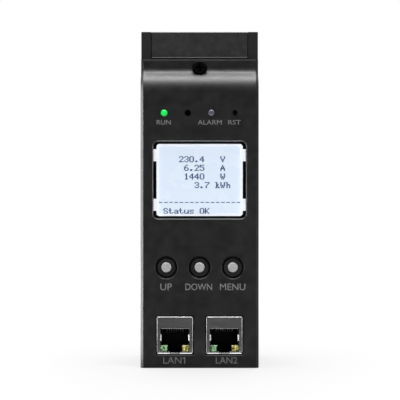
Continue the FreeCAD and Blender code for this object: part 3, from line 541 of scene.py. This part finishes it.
def makeLegend(word, left, right, low, high, look):
    thick = look["height"] + look["sunk"]
    deselectAll()
    bpy.ops.object.text_add()
    legend = bpy.context.object
    legend.name = "legend" + word.capitalize()
    legend.data.body = word
    legend.data.resolution_u = look["curveSteps"]
    legend.data.extrude = look["drawnThick"]
    bpy.ops.object.convert(target="MESH")
    legend = bpy.context.object
    first, last = endCorners(legend)
    legend.location = -(first + last) / 2
    applyPlace(legend)
    legend.scale = (
        (right - left) * mm / (last.x - first.x),
        (high - low) * mm / (last.y - first.y),
        thick * mm / (last.z - first.z),
    )
    applyPlace(legend)
    if word == look["flagged"]:
        addFlag(legend, thick, look)
    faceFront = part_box("control_bezel")[0].y
    legend.rotation_euler = upright
    legend.location = (
        (left + right) / 2 * mm,
        faceFront + (look["sunk"] - thick / 2) * mm,
        (low + high) / 2 * mm,
    )
    applyPlace(legend)
    bpy.ops.object.mode_set(mode="EDIT")
    bpy.ops.mesh.select_all(action="SELECT")
    bpy.ops.mesh.remove_doubles(threshold=look["weld"] * mm)
    bpy.ops.object.mode_set(mode="OBJECT")
    finishPiece(legend, "unit", legendInkPaintedShade if word in look["paintedShadeWords"] else legendInk)


for word in legendLook["words"]:
    makeLegend(*word, legendLook)
print("legends finished:", len(legendLook["words"]))


# stage: pale floor, white surround, a softbox overhead and small lamps along the edges, in metres

stageLook = {
    "floorSize": 6.0, "floorDrop": 0.0001, "floorColour": (0.09, 0.09, 0.09, 1),
    "paintedShadowRange": (0.12, 0.60), "lift": (0.70, 0.97),  # painted shadow: the lift is lower near the object, so the floor darkens round its base and is paler away from it
    "bounceColour": (0.05, 0.05, 0.05, 1), "mirrored": 0.02,  # what the floor gives back to the object
    "white": (1, 1, 1, 1), "ambient": 0.50, "surround": 1.0,
    "gloomRange": (0.0, 0.8), "frontGloom": 0.10,  # glossy surfaces see a dim room in front, white behind
}


def mixShaders(tree, share, first, second):
    mix = tree.nodes.new("ShaderNodeMixShader")
    tree.links.new(share, mix.inputs["Fac"])
    tree.links.new(first, mix.inputs[1])
    tree.links.new(second, mix.inputs[2])
    return mix.outputs["Shader"]


def makeFloor(look):
    deselectAll()
    bpy.ops.mesh.primitive_plane_add(size=look["floorSize"], location=(0, 0, -look["floorDrop"]))
    floor = bpy.context.object
    floor.name = "floor"
    material = bpy.data.materials.new("paleFloor")
    material.use_nodes = True
    tree = material.node_tree
    tree.nodes.clear()
    output = tree.nodes.new("ShaderNodeOutputMaterial")
    matt = tree.nodes.new("ShaderNodeBsdfDiffuse")
    matt.inputs["Color"].default_value = look["floorColour"]
    place = tree.nodes.new("ShaderNodeTexCoord")
    distance = tree.nodes.new("ShaderNodeVectorMath")
    distance.operation = "LENGTH"
    tree.links.new(place.outputs["Object"], distance.inputs[0])
    # painted shadow on the floor: less lift near the object, more further off
    liftWithPaintedShadow = addRange(tree, distance.outputs["Value"], look["paintedShadowRange"], look["lift"])
    lift = tree.nodes.new("ShaderNodeEmission")
    tree.links.new(liftWithPaintedShadow, lift.inputs["Strength"])
    both = tree.nodes.new("ShaderNodeAddShader")
    tree.links.new(matt.outputs["BSDF"], both.inputs[0])
    tree.links.new(lift.outputs["Emission"], both.inputs[1])
    bounce = tree.nodes.new("ShaderNodeBsdfDiffuse")
    bounce.inputs["Color"].default_value = look["bounceColour"]
    rays = tree.nodes.new("ShaderNodeLightPath")
    seen = tree.nodes.new("ShaderNodeMath")
    seen.operation = "MULTIPLY_ADD"
    tree.links.new(rays.outputs["Is Glossy Ray"], seen.inputs[0])
    seen.inputs[1].default_value = look["mirrored"]
    tree.links.new(rays.outputs["Is Camera Ray"], seen.inputs[2])
    pick = mixShaders(tree, seen.outputs["Value"], bounce.outputs["BSDF"], both.outputs["Shader"])
    tree.links.new(pick, output.inputs["Surface"])
    floor.data.materials.append(material)


def makeSurround(look):
    world = bpy.data.worlds.new("whiteSurround")
    bpy.context.scene.world = world
    world.use_nodes = True
    tree = world.node_tree
    tree.nodes.clear()
    output = tree.nodes.new("ShaderNodeOutputWorld")
    ambient = tree.nodes.new("ShaderNodeBackground")
    ambient.inputs["Strength"].default_value = look["ambient"]
    backdrop = tree.nodes.new("ShaderNodeBackground")
    backdrop.inputs["Strength"].default_value = look["surround"]
    room = tree.nodes.new("ShaderNodeBackground")
    for background in (ambient, backdrop, room):
        background.inputs["Color"].default_value = look["white"]
    direction = tree.nodes.new("ShaderNodeTexCoord")
    axes = tree.nodes.new("ShaderNodeSeparateXYZ")
    tree.links.new(direction.outputs["Generated"], axes.inputs["Vector"])
    depth = addRange(tree, axes.outputs["Y"], look["gloomRange"], (look["frontGloom"], look["surround"]))
    tree.links.new(depth, room.inputs["Strength"])
    rays = tree.nodes.new("ShaderNodeLightPath")
    clear = tree.nodes.new("ShaderNodeMath")
    clear.operation = "MAXIMUM"
    tree.links.new(rays.outputs["Is Camera Ray"], clear.inputs[0])
    tree.links.new(rays.outputs["Is Transmission Ray"], clear.inputs[1])
    mirrored = mixShaders(
        tree, rays.outputs["Is Glossy Ray"], ambient.outputs["Background"], room.outputs["Background"],
    )
    pick = mixShaders(tree, clear.outputs["Value"], mirrored, backdrop.outputs["Background"])
    tree.links.new(pick, output.inputs["Surface"])


lampLook = [  # name, place, aim, width, height, watts, spread in degrees
    ("overheadSoftbox", (0.0, 0.13, 0.75), (0.0, 0.14, 0.07), 0.60, 0.86, 22.0, 180),
    ("leftEdgeStrip", (-0.0453, -0.0194, 0.0655), (-0.0258, -0.0260, 0.0655), 0.0090, 0.129, 0.0130, 75),
    # both sides of the jacks, and the bright table below them
    ("leftPanel", (-0.15, -0.08, 0.031), (0.0, -0.04, 0.031), 0.10, 0.06, 0.11, 180),
    ("rightPanel", (0.14, -0.13, 0.031), (0.0, -0.10, 0.031), 0.14, 0.06, 0.10, 180),
    ("leftFootGlow", (-0.0109, -0.0295, 0.0052), (-0.0109, -0.0295, 1.0), 0.0155, 0.0056, 0.0010, 180),
    ("rightFootGlow", (0.0109, -0.0295, 0.0052), (0.0109, -0.0295, 1.0), 0.0155, 0.0056, 0.0010, 180),
    # the display's own glow on the window's rim
    ("leftRimGlow", (-0.0146, -0.0265, 0.0827), (-0.0206, -0.0265, 0.0827), 0.0006, 0.034, 0.00021, 60),
    ("rightRimGlow", (0.0144, -0.0265, 0.0827), (0.0204, -0.0265, 0.0827), 0.0006, 0.034, 0.00021, 60),
    ("topRimGlow", (-0.0001, -0.0265, 0.0939), (-0.0001, -0.0265, 0.0999), 0.038, 0.0006, 0.00034, 60),
]


def makeLamp(name, place, aim, wide, tall, watts, spread):
    deselectAll()
    bpy.ops.object.light_add(type="AREA", location=place)
    lamp = bpy.context.object
    lamp.name = name
    lamp.data.shape = "RECTANGLE"
    lamp.data.size = wide
    lamp.data.size_y = tall
    lamp.data.energy = watts
    lamp.data.spread = math.radians(spread)
    lamp.visible_camera = False
    lamp.rotation_euler = (Vector(aim) - Vector(place)).to_track_quat("-Z", "Y").to_euler()


makeFloor(stageLook)
makeSurround(stageLook)
for lamp in lampLook:
    makeLamp(*lamp)
print("stage set:", len(lampLook), "lamps")


# camera: straight on, as the photograph

cameraLook = {  # millimetres
    "across": 0.176, "up": 73.8, "away": 590.0, "frameWide": 175.7, "clipStart": 10.0,
}
cameraPlace = (
    cameraLook["across"] * mm,
    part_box("control_bezel")[0].y - cameraLook["away"] * mm,
    cameraLook["up"] * mm,
)
bpy.ops.object.camera_add(location=cameraPlace, rotation=upright)
camera = bpy.context.object
camera.data.angle = 2 * math.atan(cameraLook["frameWide"] / 2 / cameraLook["away"])
camera.data.clip_start = cameraLook["clipStart"] * mm
bpy.context.scene.camera = camera
bpy.context.scene.view_settings.view_transform = "Standard"
print("camera set")
